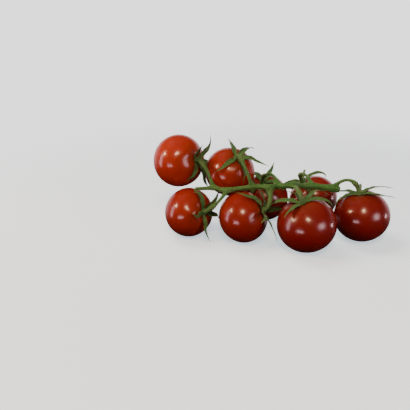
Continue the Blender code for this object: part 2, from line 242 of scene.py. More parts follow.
SKY_DIM = 0.08                    # light from all round
SKY_OVERHEAD = 0.2
BACKDROP_LIGHT = 1.3
BACKDROP_FADE = (0.15, 0.5)       # sine of the height over which the backdrop ends
UNDER_LIGHT = 0.3                 # of the light from straight below, as a ratio

# Lamps: the direction as right, up and towards the camera, the distance from the truss,
# the width, the height or None for a disc, the watts and the colour.
Lamp = namedtuple("Lamp", "way distance width height watts colour")
LAMPS = {
    "soft_key": Lamp((-0.40, 0.90, 0.10), 1.1, 0.60, 0.60, 6.5, WHITE),
    "lamp_left": Lamp((-0.80, 0.40, 0.38), 0.9, 0.16, None, 3.0, WARM),
    "lamp_middle": Lamp((-0.06, 0.42, 0.90), 0.9, 0.20, None, 3.8, WARM),
    "lamp_right": Lamp((1.00, -0.02, -0.05), 0.9, 0.14, None, 0.8, ROSE),
    "window_left": Lamp((-0.97, 0.05, 0.15), 0.9, 0.20, 0.60, 2.4, ROSE),
    "window_front": Lamp((-0.56, -0.37, 0.74), 0.9, 0.36, 0.18, 2.0, ROSE),
    "window_right": Lamp((0.76, -0.05, 0.64), 0.36, 0.30, 0.14, 0.055, ROSE),
}
WINDOW_RIGHT_SPREAD = 38          # degrees; it faces the fruit by the cut end


# ---------------------------------------------------------------- settings

def colour_setting(name, description, default):
    """A colour that a user may change."""
    return FloatVectorProperty(name=name, description=description, subtype="COLOR",
                               size=3, min=0.0, max=1.0, default=default)


def length_setting(name, description, default, least=0.0):
    """A length in metres that a user may change."""
    return FloatProperty(name=name, description=description, subtype="DISTANCE",
                         unit="LENGTH", min=least, default=default)


class FruitSettings(bpy.types.PropertyGroup):
    """Looks of the fruits."""

    deep_red: colour_setting("Deep Red", "Skin colour of the ripest fruits",
                             (0.145, 0.0034, 0.0020))
    orange_red: colour_setting("Orange Red", "Skin colour of the least ripe fruit",
                               (0.430, 0.034, 0.008))
    lobe_height: length_setting("Lobe Height", "Height of the soft lobes at the stem end",
                                0.32 * MM)
    gloss: FloatProperty(
        name="Gloss", description="Weight of the clear wax layer on the skin",
        subtype="FACTOR", min=0.0, max=1.0, default=0.30)


class GreenSettings(bpy.types.PropertyGroup):
    """Looks of the stem, the stalks and the sepals."""

    stem_light: colour_setting("Stem Light", "Lighter green of the stem",
                               (0.056, 0.215, 0.040))
    stem_dark: colour_setting("Stem Dark", "Darker green of the stem",
                              (0.010, 0.056, 0.009))
    sepal_light: colour_setting("Sepal Light", "Green of the sepals' veins and edges",
                                (0.100, 0.215, 0.060))
    sepal_dark: colour_setting("Sepal Dark", "Green of the sepals between the veins",
                               (0.017, 0.068, 0.014))
    sepal_length: length_setting("Sepal Length", "Length of the longest sepal", 22.5 * MM)
    sepal_width: length_setting("Sepal Width", "Width of a sepal at its widest", 3.9 * MM)
    sepal_thickness: length_setting("Sepal Thickness",
                                    "Thickness of a sepal along its middle", 0.5 * MM)
    hair_length: length_setting("Hair Length", "Mean length of the fine hairs", 0.6 * MM)
    stem_hairs: IntProperty(
        name="Stem Hairs", description="Number of hairs on the stem and its stalks",
        min=0, default=8000)
    calyx_hairs: IntProperty(
        name="Calyx Hairs", description="Number of hairs on each calyx", min=0, default=1000)


class StageSettings(bpy.types.PropertyGroup):
    """Floor, lights and camera."""

    floor_colour: colour_setting("Floor Colour", "Colour of the plain floor",
                                 (0.87, 0.91, 0.95))
    floor_radius: length_setting("Floor Radius", "Radius of the floor", 6.0, 0.1)
    lit_radius: length_setting("Lit Radius",
                               "Radius within which the floor takes full shadow", 0.15)
    floor_glow: colour_setting("Floor Glow",
                               "Light that the floor gives off itself near the truss",
                               (0.68, 0.84, 0.90))
    sky_tone: FloatProperty(
        name="Sky Tone", description="Brightness that the camera sees beyond the floor",
        min=0.0, default=2.0)
    lens: FloatProperty(
        name="Lens", description="Focal length of the camera", subtype="DISTANCE_CAMERA",
        unit="CAMERA", min=1.0, default=43.9)


# ---------------------------------------------------------------- turning and paths

def about_z(degrees):
    """Rotation matrix about the upright axis."""
    turn = math.radians(degrees)
    return np.array([[math.cos(turn), -math.sin(turn), 0.0],
                     [math.sin(turn), math.cos(turn), 0.0], [0.0, 0.0, 1.0]])


def about_y(degrees):
    """Rotation matrix about the Y axis."""
    turn = math.radians(degrees)
    return np.array([[math.cos(turn), 0.0, math.sin(turn)], [0.0, 1.0, 0.0],
                     [-math.sin(turn), 0.0, math.cos(turn)]])


def turned(k):
    """Rotation that tips fruit k by its lean towards its heading, without spin."""
    fruit = FRUITS[k]
    return about_z(fruit.heading) @ about_y(fruit.lean) @ about_z(-fruit.heading)


def unit(vectors):
    """Vectors scaled to length 1."""
    lengths = np.linalg.norm(vectors, axis=-1, keepdims=True)
    return vectors / np.maximum(lengths, 1e-12)


def smooth(knots, between=12):
    """Catmull-Rom curve through the knots, with extra points between each pair."""
    padded = np.vstack([2 * knots[0] - knots[1], knots, 2 * knots[-1] - knots[-2]])
    t = (np.arange(between) / between)[:, None]
    spans = [0.5 * (2 * start + (end - before) * t
                    + (2 * before - 5 * start + 4 * end - after) * t ** 2
                    + (3 * start - before - 3 * end + after) * t ** 3)
             for before, start, end, after in zip(padded, padded[1:], padded[2:], padded[3:])]
    return np.vstack([*spans, knots[-1:]])


def angles_round(count):
    """Evenly spaced angles round a ring, as one row."""
    return np.linspace(0.0, 2 * math.pi, count, endpoint=False)[None, :]


def lengths_along(points):
    """Distance of each point from the first, along the path."""
    steps = np.linalg.norm(np.diff(points, axis=0), axis=1)
    return np.concatenate([[0.0], np.cumsum(steps)])


def stretch(points, start, end, count):
    """The part of a path between two distances along it, as evenly spaced points."""
    along = lengths_along(points)
    wanted = np.linspace(start, end, count)
    return np.stack([np.interp(wanted, along, points[:, axis]) for axis in range(3)], axis=1)


def frames_along(path):
    """Side and up directions at each point of a path.

    Side is the direction in which the path bends least, made square to the tangent.
    """
    tangent = unit(np.gradient(path, axis=0))
    flat = np.linalg.svd(path - path.mean(axis=0))[2][2]
    side = unit(flat - (tangent @ flat)[:, None] * tangent)
    return side, np.cross(tangent, side)


# ---------------------------------------------------------------- layout from the frame

def skin(turn, size):
    """Radius and height of the skin at a turn from 0, stem end, to pi, blossom end.

    A half ellipse, sunk near the stem end by a bell-shaped hollow.
    """
    radius = 0.5 * FRUIT_DIAMETER * size * np.sin(turn)
    height = 0.5 * FRUIT_HEIGHT * size * np.cos(turn)
    hollow = DIMPLE_DEPTH * np.exp(-(radius / DIMPLE_RADIUS) ** 2) * (turn < 0.5 * math.pi)
    return radius, height - hollow


def fruit_centre(k):
    """Centre of fruit k.

    It is the middle of its node's box, less the offset of a turned skin's own box from its
    centre.
    """
    turn, around = np.meshgrid(np.linspace(0, math.pi, 181), np.linspace(0, 2 * math.pi, 181))
    radius, height = skin(turn, FRUITS[k].size)
    shape = np.stack([radius * np.cos(around), radius * np.sin(around), height], axis=-1)
    shape = shape.reshape(-1, 3) @ turned(k).T
    low, high = (np.array(corner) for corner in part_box(f"tomato_{k}"))
    return 0.5 * (low + high) - 0.5 * (shape.min(axis=0) + shape.max(axis=0))


CENTRES = {k: fruit_centre(k) for k in FRUITS}


def placed(k, points):
    """Points round the centre and axis of fruit k, put where the fruit is."""
    return points @ turned(k).T + CENTRES[k]


# How far the layout is moved, so that fruit 1 is where the frame has it.
SHIFT = np.array([CENTRES[1][0] - FIRST_FRUIT_PLACE[0] * FRUIT_DIAMETER,
                  CENTRES[1][1] - FIRST_FRUIT_PLACE[1] * FRUIT_DIAMETER, 0.0])
STEM_POINTS = np.array(STEM_ROUTE) * FRUIT_DIAMETER + SHIFT
STEM_PATH = smooth(STEM_POINTS)
STEM_LENGTH = lengths_along(STEM_PATH)[-1]


def place_on_stem(k):
    """Distance along the main stem at which side stalk k leaves it."""
    away = np.linalg.norm(STEM_PATH - STEM_POINTS[k], axis=1)
    return lengths_along(STEM_PATH)[away.argmin()]


JUNCTIONS = {k: place_on_stem(k) for k in FRUITS}


def stem_radius(distances):
    """Radius of the main stem by distance from the cut end, without its swellings."""
    return STEM_CUT_RADIUS + (STEM_TIP_RADIUS - STEM_CUT_RADIUS) * distances / STEM_LENGTH


def leaving(k):
    """Direction in which side stalk k leaves the main stem."""
    bearing, rise = math.radians(BENDS[k].bearing), math.radians(BENDS[k].rise)
    return np.array([math.cos(rise) * math.cos(bearing), math.cos(rise) * math.sin(bearing),
                     math.sin(rise)])


def stalk_path(k):
    """Centre line of neck and stalk k, from the fruit's stem end to the main stem's axis.

    A cubic curve that leaves the fruit along its axis and the stem along its bearing.
    """
    axis = turned(k)[:, 2]
    hollow = skin(np.array([0.0]), FRUITS[k].size)[1][0]
    fruit_end = CENTRES[k] + axis * (hollow + TOUCH_GAP + HUB_RISE)
    stem_end = STEM_POINTS[k]
    first = fruit_end + axis * BENDS[k].fruit_pull
    second = stem_end + leaving(k) * BENDS[k].stem_pull
    t = np.linspace(0, 1, 160)[:, None]
    return ((1 - t) ** 3 * fruit_end + 3 * (1 - t) ** 2 * t * first
            + 3 * (1 - t) * t ** 2 * second + t ** 3 * stem_end)


STALK_PATHS = {k: stalk_path(k) for k in FRUITS}


def stalk_radius(distances):
    """Radius of neck and stalk by distance from the fruit: a swelling at the knuckle."""
    swelling = np.exp(-((distances - NECK_LENGTH) / KNUCKLE_SPREAD) ** 2)
    flare = np.exp(-(distances / KNUCKLE_SPREAD) ** 2)
    return STALK_RADIUS + (KNUCKLE_RADIUS - STALK_RADIUS) * swelling + NECK_FLARE * flare


def fine_radius(distances):
    """Radius of the finished neck and stalk by distance from the fruit.

    The neck is stouter than the stalk, the knuckle between them bulges, and the neck
    spreads where it meets the sepals.
    """
    beyond = 1 / (1 + np.exp(-(distances - NECK_LENGTH) / NECK_FADE))
    bulge = KNUCKLE_BULGE * np.exp(-((distances - NECK_LENGTH) / KNUCKLE_SPREAD) ** 2)
    flare = NECK_FLARE * np.exp(-(distances / KNUCKLE_SPREAD) ** 2)
    return NECK_RADIUS + (FINE_STALK_RADIUS - NECK_RADIUS) * beyond + bulge + flare


def fruit_balls(k):
    """Balls round the fruits other than k, as rows of centre and radius."""
    return np.array([(*CENTRES[other], 0.5 * FRUIT_DIAMETER * FRUITS[other].size)
                     for other in FRUITS if other != k])


def stem_balls():
    """Balls along the main stem and along each side stalk beyond its knuckle."""
    stem = stretch(STEM_PATH, 0.0, STEM_LENGTH, 120)
    rows = [np.column_stack([stem, stem_radius(lengths_along(stem))])]
    for path in STALK_PATHS.values():
        part = stretch(path, NECK_LENGTH, lengths_along(path)[-1], 30)
        rows.append(np.column_stack([part, stalk_radius(NECK_LENGTH + lengths_along(part))]))
    return np.vstack(rows)


def pushed_out(places, balls, margin):
    """Points moved out of the ball that each lies deepest in, and the margin beyond.

    margin is one distance for all points or one for each. Three rounds clear a point that
    lies in more than one ball.
    """
    margin = np.broadcast_to(margin, places.shape[:-1])
    for _ in range(3):
        away = places[:, None, :] - balls[None, :, :3]
        distance = np.linalg.norm(away, axis=-1)
        depth = balls[None, :, 3] + margin[:, None] - distance
        worst = np.argmax(depth, axis=1)
        rows = np.arange(len(places))
        step = np.maximum(depth[rows, worst], 0.0) / distance[rows, worst]
        places = places + away[rows, worst] * step[:, None]
    return places


# ---------------------------------------------------------------- surfaces

def closed_surface(rings, first=None, last=None, **values):
    """Vertices, faces and vertex values of a surface whose rows are closed rings.

    The ends are closed by fans round the points first and last, or the rings' middles.
    The faces are turned round if their signed volume is negative. A value is one number
    for each point of the grid.
    """
    rows, columns = rings.shape[:2]
    first = rings[0].mean(axis=0) if first is None else first
    last = rings[-1].mean(axis=0) if last is None else last
    points = np.vstack([rings.reshape(-1, 3), first, last])
    here = np.arange(rows * columns).reshape(rows, columns)
    beside = np.roll(here, -1, axis=1)
    quads = np.stack([here[:-1], beside[:-1], beside[1:], here[1:]], axis=-1).reshape(-1, 4)
    start = np.stack([np.full(columns, rows * columns), beside[0], here[0]], axis=-1)
    end = np.stack([np.full(columns, rows * columns + 1), here[-1], beside[-1]], axis=-1)
    fans = np.vstack([start, end])
    triangles = np.vstack([quads[:, [0, 1, 2]], quads[:, [0, 2, 3]], fans])
    a, b, c = (points[triangles[:, corner]] for corner in range(3))
    if np.sum(a * np.cross(b, c)) < 0:
        quads, fans = quads[:, ::-1], fans[:, ::-1]
    spread = {}
    for name, value in values.items():
        value = np.broadcast_to(value, (rows, columns)).astype(float)
        spread[name] = np.concatenate([value.ravel(), [value[0].mean(), value[-1].mean()]])
    return points, quads, fans, spread


def joined(surfaces):
    """Several surfaces as one set of vertices, faces and vertex values."""
    points, quads, fans, values = zip(*surfaces)
    offsets = np.cumsum([0] + [len(each) for each in points])
    quads, fans = (np.vstack([each + offset for each, offset in zip(faces, offsets)])
                   for faces in (quads, fans))
    together = {name: np.concatenate([each[name] for each in values]) for name in values[0]}
    return np.vstack(points), quads, fans, together


def add_object(name, data):
    """A new object in the scene, at the origin."""
    made = bpy.data.objects.new(name, data)
    bpy.context.scene.collection.objects.link(made)
    return made


def add_piece(name, surface, material, nodes):
    """Puts a surface into the scene as a smooth piece that stands for CAD nodes, if any."""
    points, quads, fans, values = surface
    mesh = bpy.data.meshes.new(name)
    mesh.from_pydata(points.tolist(), [], quads.tolist() + fans.tolist())
    for value_name, value in values.items():
        layer = mesh.attributes.new(value_name, "FLOAT", "POINT")
        layer.data.foreach_set("value", np.ascontiguousarray(value, dtype=np.float32))
    mesh.shade_smooth()
    mesh.set_sharp_from_angle(angle=math.radians(SHARP_ANGLE))
    mesh.materials.append(material)
    mesh.update()
    piece = add_object(name, mesh)
    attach(piece, BODY)
    if nodes:
        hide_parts(*nodes)
    return piece


def fruit_surface(k, lobe_height, rng):
    """A skin of radius and height by turn, carried round the fruit's axis.

    The radius is changed by soft lobes near the stem end and by a faint ovalness. A small
    pit marks the blossom end.
    """
    size = FRUITS[k].size * SKIN_FIT
    turn = np.linspace(0.0, math.pi, FRUIT_ROWS + 2)[1:-1, None]
    around = angles_round(FRUIT_COLUMNS)
    radius, height = skin(turn, size)
    phase, oval_phase, wave_phase = rng.uniform(0, 2 * math.pi, 3)
    shoulder = np.exp(-((turn - SHOULDER_TURN) / SHOULDER_SPREAD) ** 2)
    lobes = lobe_height * shoulder * (np.cos(LOBES * around + phase)
                                      + 0.5 * np.cos((LOBES - 2) * around + wave_phase))
    oval = OVALNESS * radius * (np.cos(2 * around + oval_phase) - 1)
    pit = np.exp(-(radius / SCAR_RADIUS) ** 2)
    height = height + SCAR_DEPTH * pit * (turn > 0.5 * math.pi) + 0.6 * lobes
    radius = radius + lobes * np.sin(turn) + oval
    height = np.broadcast_to(height, radius.shape)
    grid = np.stack([radius * np.cos(around), radius * np.sin(around), height], axis=-1)
    top = np.array([0.0, 0.0, skin(np.array([0.0]), size)[1][0]])
    bottom = np.array([0.0, 0.0, -0.5 * FRUIT_HEIGHT * size + SCAR_DEPTH])
    stem_end = 0.5 + 0.5 * np.cos(turn)
    streak = np.cos(STREAKS * around + 3 * np.sin(LOBES * around + phase)) * shoulder
    return closed_surface(placed(k, grid), placed(k, top), placed(k, bottom),
                          stem_end=stem_end, streak=streak, ripeness=FRUITS[k].ripeness)


def tube_rings(path, radii, columns, ridges, phase):
    """Rings of a tube: each point of the path plus the radius times a turning direction.

    The radius is raised and lowered by lengthwise ridges that wind slowly round the tube.
    """
    side, up = frames_along(path)
    around = angles_round(columns)
    winding = lengths_along(path)[:, None] / RIDGE_WINDING + phase
    wave = 1 + ridges * np.cos(RIDGES * around + winding)
    reach = (radii[:, None] * wave)[..., None]
    turning = (np.cos(around)[..., None] * side[:, None, :]
               + np.sin(around)[..., None] * up[:, None, :])
    return path[:, None, :] + reach * turning


def main_stem_surface(rng):
    """The main stem: a tapering ridged tube, swollen at each side stalk and towards it.

    Both ends are rounded, and the cut end is a little thinner and lumpier.
    """
    path = stretch(STEM_PATH, 0.0, STEM_LENGTH, STEM_ROWS)
    along = lengths_along(path)
    radii = STEM_THICK_END + (STEM_THIN_END - STEM_THICK_END) * along / STEM_LENGTH
    radii = radii - CUT_THINNING * np.exp(-(along / CUT_REACH) ** 2)
    radii = radii * rounded(along, CUT_CORNER, CUT_CORNER_DEPTH)
    to_tip = np.clip((STEM_LENGTH - along) / TIP_CORNER, 0.3, 1.0)
    radii = radii * np.sqrt(1 - (1 - to_tip) ** 2)
    for distance in JUNCTIONS.values():
        radii = radii + BRANCH_SWELLING * np.exp(-((along - distance) / BRANCH_REACH) ** 2)
    rings = tube_rings(path, radii, STEM_COLUMNS, STEM_RIDGES, 1.0)
    outward = unit(rings - path[:, None, :])
    for k, distance in JUNCTIONS.items():
        near = np.exp(-((along - distance) / BRANCH_REACH) ** 2)[:, None]
        facing = np.clip(outward @ leaving(k), 0.0, 1.0) ** 2
        rings = rings + outward * (BRANCH_FACING * BRANCH_SWELLING * near * facing)[..., None]
    lumps = sum(np.sin(path @ rng.normal(0, LUMP_WAVES, 3) + shift)[:, None]
                * np.cos(np.arange(STEM_COLUMNS) * 2 * math.pi / STEM_COLUMNS + shift)
                for shift in rng.uniform(0, 6, 4))
    height = LUMP_HEIGHT + CUT_LUMP_HEIGHT * np.exp(-(along / CUT_LUMP_REACH) ** 2)[:, None]
    rings = rings + outward * (height * lumps)[..., None]
    tone = 0.15 + 0.75 * (along / STEM_LENGTH)[:, None] ** 1.5
    cut = np.exp(-(along / CUT_FACE) ** 2)[:, None]
    return closed_surface(rings, tone=tone, cut=cut)


def stalk_surface(k):
    """Side stalk k from the knuckle's parting line to the main stem's axis.

    Its foot spreads along the main stem, more than across it, to blend the two.
    """
    path = STALK_PATHS[k]
    start = NECK_LENGTH + 0.5 * CREASE
    total = lengths_along(path)[-1]
    points = stretch(path, start, total - STALK_END, STALK_ROWS)
    from_fruit = start + lengths_along(points)
    radii = fine_radius(from_fruit) * rounded(from_fruit - start)
    rings = tube_rings(points, radii, STALK_COLUMNS, STALK_RIDGES, float(k))
    junction = JUNCTIONS[k]
    skin_distance = stem_radius(junction) + FLARE_START
    spread = np.exp(-np.maximum(total - from_fruit - skin_distance, 0) / FLARE_REACH)
    run = unit(stretch(STEM_PATH, junction, junction + 0.5 * MM, 2)[1] - STEM_POINTS[k])
    offset = rings - points[:, None, :]
    lengthwise = (offset @ run)[..., None] * run
    offset = (offset * (1 + FLARE_ACROSS_STEM * spread)[:, None, None]
              + lengthwise * (FLARE_ALONG_STEM * spread)[:, None, None])
    near_knuckle = np.exp(-(from_fruit - start) / KNUCKLE_TONE_REACH)
    tone = (0.35 + 0.5 * near_knuckle)[:, None]
    return closed_surface(points[:, None, :] + offset, tone=tone, cut=0.0)


def rounded(distances, corner=CORNER, depth=CORNER_DEPTH):
    """Ratio that rounds off an end: a quarter circle over the corner distance."""
    inside = np.clip(distances / corner, 0.0, 1.0)
    return 1 - depth * (1 - np.sqrt(1 - (1 - inside) ** 2))


def neck_surface(k):
    """The neck of calyx k, from under its sepals to the knuckle's parting line."""
    points = stretch(STALK_PATHS[k], 0.0, NECK_LENGTH - 0.5 * CREASE, NECK_ROWS)
    from_fruit = lengths_along(points)
    radii = fine_radius(from_fruit) * rounded(from_fruit[-1] - from_fruit)
    rings = tube_rings(points, radii, STALK_COLUMNS, NECK_RIDGES, float(k))
    tone = np.clip(from_fruit / from_fruit[-1], 0, 1)[:, None] ** 2
    return closed_surface(rings, tone=tone, across=0.25)


def sepal_surface(k, azimuth, length, lift, width, thickness, rng):
    """One sepal: a thin lens-shaped section carried along a line that leaves the fruit.

    The line follows the shoulder and stands off it more and more, up to the lift at the
    tip. The section is a shallow trough that twists and wavers a little on the way, and
    its width grows to about a third of the length and then narrows to the tip.
    """
    size = FRUITS[k].size
    ball = 0.5 * FRUIT_DIAMETER * size
    bend, twist, waver, curl = rng.uniform(-1, 1, 4)
    flat_length = math.sqrt(max(length ** 2 - lift ** 2, 0.0))
    distance = np.linspace(SEPAL_ROOT, HUB_RADIUS + flat_length, SEPAL_ROWS)
    u = np.clip((distance - HUB_RADIUS) / flat_length, 0.0, 1.0)
    radius, height = skin(distance / ball, size)
    tip_curl = (TIP_CURL + TIP_CURL_MORE * abs(curl)) * np.clip((u - 0.55) / 0.45, 0, 1) ** 2
    stand_off = SEPAL_CLEARANCE + lift * u ** 1.6 + tip_curl * np.sign(curl + 0.4)
    stand_off = np.maximum(stand_off, SEPAL_CLEARANCE)
    out = radius + stand_off * np.sin(distance / ball)
    rise = height + stand_off * np.cos(distance / ball)
    facing = math.radians(azimuth) + 0.25 * bend * u ** 2 + 0.07 * waver * np.sin(7 * u)
    line = placed(k, np.stack([out * np.cos(facing), out * np.sin(facing), rise], axis=-1))
    breadth = (u + 0.06) ** 0.6 * (1 - u) ** 1.25
    half = 0.5 * width * rng.uniform(0.88, 1.08) * breadth / breadth.max() + SEPAL_TIP
    margin = thickness + 0.5 * SEPAL_CLEARANCE
    free = u > 0
    line[free] = pushed_out(pushed_out(line[free], stem_balls(), half[free] + margin),
                            fruit_balls(k), margin)
    tangent = unit(np.gradient(line, axis=0))
    side = np.array([-math.sin(math.radians(azimuth)), math.cos(math.radians(azimuth)), 0.0])
    side = side @ turned(k).T
    side = unit(side - (tangent @ side)[:, None] * tangent)
    normal = np.cross(tangent, side)
    roll = (SEPAL_TWIST * twist * u ** 1.5)[:, None]
    side, normal = (np.cos(roll) * side + np.sin(roll) * normal,
                    np.cos(roll) * normal - np.sin(roll) * side)
    around = angles_round(SEPAL_COLUMNS)
    across = np.cos(around)
    body = 0.5 * thickness * (1 - 0.6 * u[:, None]) * np.sin(around)
    keel = -0.22 * thickness * np.exp(-(across / 0.18) ** 2) * (np.sin(around) < 0)
    trough = (0.30 + 0.25 * abs(twist)) * half[:, None] * (across ** 2 - 0.3)
    ripple = 0.10 * half[:, None] * across ** 2 * np.sin(18 * u[:, None] + 5 * twist)
    deep = body + keel + trough + ripple
    rings = (line[:, None, :] + (half[:, None] * across)[..., None] * side[:, None, :]
             + deep[..., None] * normal[:, None, :])
    clear = pushed_out(rings.reshape(-1, 3), fruit_balls(k), SKIN_MARGIN)
    return closed_surface(clear.reshape(rings.shape), tone=0.0, across=across)


def hair_surface(piece, count, length, rng):
    """Fine hairs: slim three-sided cones on random vertices of a piece, tilted at random."""
    mesh = piece.data
    places = np.empty(len(mesh.vertices) * 3)
    normals = np.empty(len(mesh.vertices) * 3)
    mesh.vertices.foreach_get("co", places)
    mesh.vertex_normals.foreach_get("vector", normals)
    chosen = rng.choice(len(mesh.vertices), size=count, replace=False)
    roots = places.reshape(-1, 3)[chosen]
    ways = unit(normals.reshape(-1, 3)[chosen] + HAIR_TILT * rng.normal(size=(count, 3)))
    side = unit(np.cross(ways, rng.normal(size=(count, 3))))
    other = np.cross(ways, side)
    long = length * (HAIR_SHORTEST + rng.gamma(HAIR_SHAPE, HAIR_SPREAD, count)[:, None])
    corners = [roots - HAIR_ROOT * ways
               + HAIR_RADIUS * (math.cos(turn) * side + math.sin(turn) * other)
               for turn in (0.0, 2 * math.pi / 3, 4 * math.pi / 3)]
    points = np.stack([*corners, roots + long * ways], axis=1).reshape(-1, 3)
    first = 4 * np.arange(count)[:, None]
    faces = np.vstack([first + np.array(face)
                       for face in ((0, 1, 3), (1, 2, 3), (2, 0, 3), (2, 1, 0))])
    return points, np.empty((0, 4), dtype=int), faces, {}


# ---------------------------------------------------------------- shader helpers

def new_material(name):
    """A material with an empty node tree but for its Principled shader and its output."""
    material = bpy.data.materials.new(name)
    material.use_nodes = True
    tree = material.node_tree
    return material, tree, tree.nodes["Principled BSDF"]


def feed(tree, fed, inputs):
    """Gives a node's inputs plain values or incoming sockets."""
    for name, value in inputs.items():
        if isinstance(value, bpy.types.NodeSocket):
            tree.links.new(value, fed.inputs[name])
        else:
            fed.inputs[name].default_value = value


def node(tree, kind, inputs=None, **settings):
    """A node with its settings and its inputs' values or incoming sockets."""
    made = tree.nodes.new(kind)
    for name, value in settings.items():
        setattr(made, name, value)
    feed(tree, made, inputs or {})
    return made


def blend_colour(tree, factor, low, high):
    """Colour between low and high by a factor; each is a socket or a plain colour."""
    low, high = (value if isinstance(value, bpy.types.NodeSocket) else (*value, 1.0)
                 for value in (low, high))
    return node(tree, "ShaderNodeMix", {0: factor, 6: low, 7: high},
                data_type="RGBA").outputs[2]


def vertex_value(tree, name):
    """A value stored on the piece's vertices."""
    return node(tree, "ShaderNodeAttribute", attribute_name=name).outputs["Fac"]


def arithmetic(tree, operation, one, other, clamp=False):
    """A sum, product or the like of two values; a sine or size uses only the first."""
    return node(tree, "ShaderNodeMath", {0: one, 1: other}, operation=operation,
                use_clamp=clamp).outputs[0]


def weighted(tree, *terms):
    """Sum of values, each times its weight, held between 0 and 1."""
    total, *parts, last = (arithmetic(tree, "MULTIPLY", *term) for term in terms)
    for part in parts:
        total = arithmetic(tree, "ADD", total, part)
    return arithmetic(tree, "ADD", total, last, clamp=True)


def ranged(tree, value, low, high, at_low, at_high, curve="SMOOTHSTEP"):
    """A value carried from one range to another, and held at its ends."""
    return node(tree, "ShaderNodeMapRange",
                {"Value": value, "From Min": low, "From Max": high, "To Min": at_low,
                 "To Max": at_high}, interpolation_type=curve).outputs["Result"]


def bumps(tree, height, strength, distance):
    """Normals bent by fine bumps, from a mask of their height."""
    return node(tree, "ShaderNodeBump", {"Strength": strength, "Distance": distance,
                                         "Height": height}).outputs["Normal"]


def mottle_group():
    """Shader group: soft layered noise on Object coordinates, as a mask."""
    known = bpy.data.node_groups.get("mottle")
    if known:
        return known
    group = bpy.data.node_groups.new("mottle", "ShaderNodeTree")
    scale = group.interface.new_socket("Scale", in_out="INPUT", socket_type="NodeSocketFloat")
    scale.default_value = 100.0
    contrast = group.interface.new_socket("Contrast", in_out="INPUT",
                                          socket_type="NodeSocketFloat")
    contrast.default_value = 1.5
    group.interface.new_socket("Mask", in_out="OUTPUT", socket_type="NodeSocketFloat")
    entry = group.nodes.new("NodeGroupInput")
    leave = group.nodes.new("NodeGroupOutput")
    place = node(group, "ShaderNodeTexCoord")
    noise = node(group, "ShaderNodeTexNoise",
                 {"Vector": place.outputs["Object"], "Scale": entry.outputs["Scale"],
                  "Detail": 3.0, "Roughness": 0.55})
    centred = arithmetic(group, "SUBTRACT", noise.outputs["Fac"], 0.5)
    wide = arithmetic(group, "MULTIPLY", centred, entry.outputs["Contrast"])
    mask = arithmetic(group, "ADD", wide, 0.5, clamp=True)
    group.links.new(mask, leave.inputs["Mask"])
    return group


def mottle(tree, scale, contrast):
    """The mottle group placed in a tree; returns its mask."""
    placed = node(tree, "ShaderNodeGroup", {"Scale": scale, "Contrast": contrast},
                  node_tree=mottle_group())
    return placed.outputs["Mask"]


# ---------------------------------------------------------------- materials

def skin_material(settings):
    """Ripe tomato skin: deep red to orange red, faintly streaked and dotted, under wax, with
    painted shade at the stem end.
    """
    material, tree, shader = new_material("tomato skin")
    warm = weighted(tree, (mottle(tree, 55.0, 1.6), 0.22),
                    (vertex_value(tree, "ripeness"), 0.75),
                    (vertex_value(tree, "streak"), 0.05))
    colour = blend_colour(tree, warm, settings.deep_red, settings.orange_red)
    place = node(tree, "ShaderNodeTexCoord")
    dots = node(tree, "ShaderNodeTexVoronoi", {"Vector": place.outputs["Object"],
                                               "Scale": 1300.0, "Randomness": 1.0})
    dot = ranged(tree, dots.outputs["Distance"], 0.10, 0.22, 0.04, 0.0, "LINEAR")
    colour = blend_colour(tree, dot, colour, DOT_COLOUR)
    # Painted shade: the skin near the stem end, in the hollow under the sepals, is blended
    # towards a dull brown red.
    shade = arithmetic(tree, "POWER", vertex_value(tree, "stem_end"), 14.0)
    colour = blend_colour(tree, arithmetic(tree, "MULTIPLY", shade, 0.55), colour,
                          STEM_END_SHADE_COLOUR)
    feed(tree, shader, {
        "Base Color": colour, "Roughness": 0.26, "Coat Weight": settings.gloss,
        "Coat Roughness": 0.10, "Subsurface Weight": 0.12,
        "Subsurface Radius": (1.0, 0.12, 0.05), "Subsurface Scale": 3 * MM,
        "Normal": bumps(tree, mottle(tree, 900.0, 1.0), 0.06, 0.2 * MM)})
    return material


def green_shader(material_name, light, dark, tone_colour):
    """A matte green with a faint sheen, between two shades, yellower where tone is high."""
    material, tree, shader = new_material(material_name)
    mask = weighted(tree, (mottle(tree, 380.0, 2.2), 0.55), (mottle(tree, 90.0, 1.8), 0.45))
    colour = blend_colour(tree, mask, dark, light)
    tone = arithmetic(tree, "MULTIPLY", vertex_value(tree, "tone"), 0.75)
    colour = blend_colour(tree, tone, colour, tone_colour)
    feed(tree, shader, {
        "Roughness": 0.55, "Sheen Weight": 0.12, "Sheen Roughness": 0.4,
        "Sheen Tint": SHEEN_TINT, "Specular IOR Level": 0.35,
        "Normal": bumps(tree, mottle(tree, 1400.0, 2.0), 0.5, 0.25 * MM)})
    return material, tree, shader, colour


def stem_material(settings):
    """Stem green, yellower towards the thin tip and the knuckles, brown on the cut face."""
    material, tree, shader, colour = green_shader(
        "stem green", settings.stem_light, settings.stem_dark, STEM_TONE)
    colour = blend_colour(tree, vertex_value(tree, "cut"), colour, CUT_COLOUR)
    feed(tree, shader, {"Base Color": colour})
    return material


def calyx_material(settings):
    """Sepal green with a pale midrib, finer veins beside it and pale edges."""
    material, tree, shader, colour = green_shader(
        "calyx green", settings.sepal_light, settings.sepal_dark, CALYX_TONE)
    across = arithmetic(tree, "ABSOLUTE", vertex_value(tree, "across"), 0.0)
    midrib = ranged(tree, across, 0.05, 0.22, 0.55, 0.0, "LINEAR")
    edge = ranged(tree, across, 0.82, 1.0, 0.0, 0.45, "LINEAR")
    veins = arithmetic(tree, "SINE", arithmetic(tree, "MULTIPLY", across, 24.0), 0.0)
    faint = arithmetic(tree, "MULTIPLY", veins, 0.10, clamp=True)
    lit = arithmetic(tree, "ADD", arithmetic(tree, "ADD", midrib, edge), faint, clamp=True)
    colour = blend_colour(tree, lit, colour, settings.sepal_light)
    feed(tree, shader, {"Base Color": colour})
    return material


